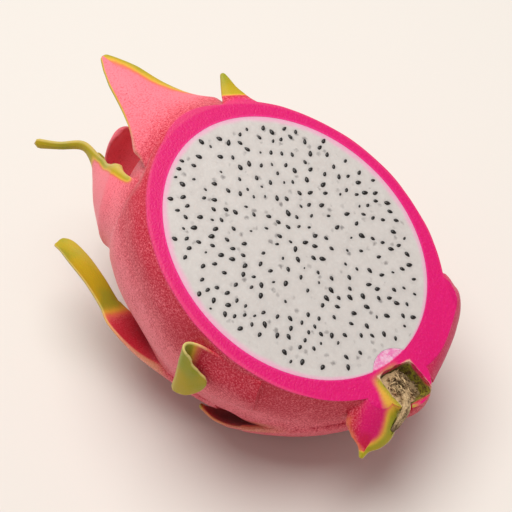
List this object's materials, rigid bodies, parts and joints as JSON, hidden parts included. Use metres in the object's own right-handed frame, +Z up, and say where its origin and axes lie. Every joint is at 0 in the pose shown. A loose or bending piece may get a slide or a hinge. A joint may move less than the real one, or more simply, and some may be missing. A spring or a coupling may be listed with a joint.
{
  "type": "halved dragon fruit",
  "caption": "Egg-shaped tropical fruit cut open lengthways: a leathery pink rind with green-tipped scales, white flesh with dark seeds, and a woody stalk scar.",
  "frame": {"origin": "middle of the small flat spot that the fruit rests on", "axes": "+Z up, with the cut face up; +X toward the stem end, -X toward the crown; the fruit's axis rises a little toward the crown"},
  "size_m": [0.1416, 0.0917, 0.0761],
  "materials": {
    "rind": "matt waxy skin with a fine grain, green at the tips of its scales",
    "flesh": "moist translucent white flesh with small dark seeds",
    "stem_scar": "dry torn fibre"
  },
  "bodies": {
    "root": {"rind": "rind", "flesh": "flesh", "stem_scar": "stem_scar"}
  },
  "joints": []
}
